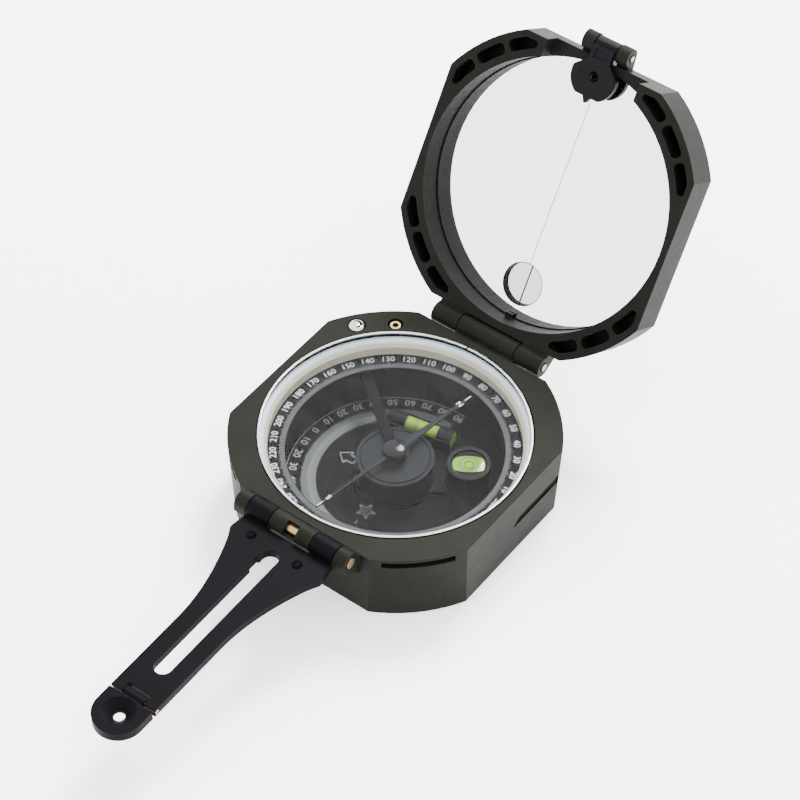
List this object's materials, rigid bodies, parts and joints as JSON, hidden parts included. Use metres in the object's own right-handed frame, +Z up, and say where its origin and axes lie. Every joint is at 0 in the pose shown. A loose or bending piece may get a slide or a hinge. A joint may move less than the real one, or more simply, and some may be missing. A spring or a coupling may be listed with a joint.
{
  "type": "sighting compass",
  "caption": "Pocket sighting compass: eight-sided case with a dial under glass, hinged mirror lid, folding slotted sighting arm, folding sights and a slope-measuring level",
  "frame": {"origin": "middle of the case's flat underside, on the needle's axis", "axes": "+Z up out of the dial, +Y from the sighting arm to the lid's hinge, +X along both hinges"},
  "size_m": [0.07, 0.1929, 0.0843],
  "materials": {
    "case_paint": "dark olive satin paint",
    "cover_paint": "dark olive satin paint",
    "screw_steel": "plain",
    "chrome_ring": "polished",
    "cover_glass": "clear",
    "gasket_rubber": "matte",
    "reflector_cream": "pale satin",
    "dial_grey": "grey dial floor",
    "fulcrum_steel": "plain",
    "hinge_brass": "plain",
    "ring_black": "black with white figures",
    "pinion_brass": "plain",
    "lift_pin_chrome": "polished",
    "spring_steel": "plain",
    "lever_black": "black",
    "needle_blue": "blued steel",
    "cap_black": "glossy black",
    "carriage_black": "black",
    "drum_grey": "satin grey",
    "post_steel": "polished point",
    "vial_green": "lime-green liquid",
    "lid_paint": "dark olive satin paint",
    "mirror_silver": "silvered glass",
    "sight_black": "black satin",
    "arm_black": "black satin",
    "sight_pin_copper": "coppery"
  },
  "bodies": {
    "case": {"body_case": "case_paint", "bottom_cover": "cover_paint", "cover_screw_1": "screw_steel", "cover_screw_2": "screw_steel", "cover_screw_3": "screw_steel", "cover_screw_4": "screw_steel", "retaining_ring": "chrome_ring", "cover_glass": "cover_glass", "glass_gasket": "gasket_rubber", "reflector_ring": "reflector_cream", "inner_bowl": "dial_grey", "lever_fulcrum_pin": "fulcrum_steel", "lid_hinge_pin": "hinge_brass", "arm_hinge_pin": "hinge_brass"},
    "azimuth_ring": {"azimuth_ring": "ring_black"},
    "adjusting_pinion": {"adjusting_pinion": "pinion_brass"},
    "lift_pin": {"lift_pin": "lift_pin_chrome", "lift_pin_spring": "spring_steel"},
    "lift_lever": {"lift_lever": "lever_black"},
    "lift_collar": {"lift_collar": "spring_steel"},
    "needle": {"compass_needle": "needle_blue", "jewel_cap": "cap_black"},
    "clinometer": {"clinometer_carriage": "carriage_black", "damping_drum": "drum_grey", "pivot_post": "post_steel", "level_tube_holder": "carriage_black", "level_tube": "vial_green", "round_level_cup": "carriage_black", "round_level_vial": "vial_green", "clinometer_lever": "post_steel"},
    "lid": {"lid_frame": "lid_paint", "mirror": "mirror_silver", "front_sight_pin": "hinge_brass"},
    "front_sight": {"front_sight": "sight_black"},
    "arm": {"sighting_arm": "arm_black", "tip_sight_pin": "sight_pin_copper"},
    "tip_sight": {"tip_sight": "sight_black"}
  },
  "joints": [
    {"name": "azimuth_turn", "type": "hinge", "parent": "case", "child": "azimuth_ring", "pos_m": [0, 0, 0.0136], "axis": [0, 0, 1], "continuous": true},
    {"name": "pinion_turn", "type": "hinge", "parent": "case", "child": "adjusting_pinion", "pos_m": [-0.02125, 0.02831, 0.0136], "axis": [0, 0, 1], "continuous": true},
    {"name": "lift_press", "type": "slide", "parent": "case", "child": "lift_pin", "axis": [0, 0, 1], "range_m": [-0.0006, 0], "stiffness_N_per_m": 300, "springref_m": 0.001, "deforming": ["lift_pin_spring"]},
    {"name": "lever_rock", "type": "hinge", "parent": "case", "child": "lift_lever", "pos_m": [-0.02328, 0.01812, 0.0115], "axis": [-0.6143, -0.7891, 0], "range_deg": [0, 5.2]},
    {"name": "collar_lift", "type": "slide", "parent": "case", "child": "lift_collar", "axis": [0, 0, 1], "range_m": [0, 0.0028]},
    {"name": "needle_spin", "type": "hinge", "parent": "lift_collar", "child": "needle", "pos_m": [0, 0, 0.0133], "axis": [0, 0, 1], "continuous": true},
    {"name": "clinometer_turn", "type": "hinge", "parent": "case", "child": "clinometer", "pos_m": [0, 0, 0.0028], "axis": [0, 0, 1], "range_deg": [-95, 95]},
    {"name": "lid_open", "type": "hinge", "parent": "case", "child": "lid", "pos_m": [0, 0.03835, 0.0201], "axis": [-1, 0, 0], "range_deg": [-118, 58.4]},
    {"name": "front_sight_fold", "type": "hinge", "parent": "lid", "child": "front_sight", "pos_m": [0, 0.08364, 0.08188], "axis": [-1, 0, 0], "range_deg": [0, 170]},
    {"name": "arm_fold", "type": "hinge", "parent": "case", "child": "arm", "pos_m": [0, -0.03835, 0.0201], "axis": [1, 0, 0], "range_deg": [-181.5, 10]},
    {"name": "tip_fold", "type": "hinge", "parent": "arm", "child": "tip_sight", "pos_m": [0, -0.09518, 0.01681], "axis": [-1, 0, 0], "range_deg": [0, 90]}
  ],
  "couplings": [
    {"joint": "pinion_turn", "follows": "azimuth_turn", "ratio": -13.75},
    {"joint": "lever_rock", "follows": "lift_press", "rad_per_m": -149.25},
    {"joint": "collar_lift", "follows": "lift_press", "ratio": -4.6}
  ]
}
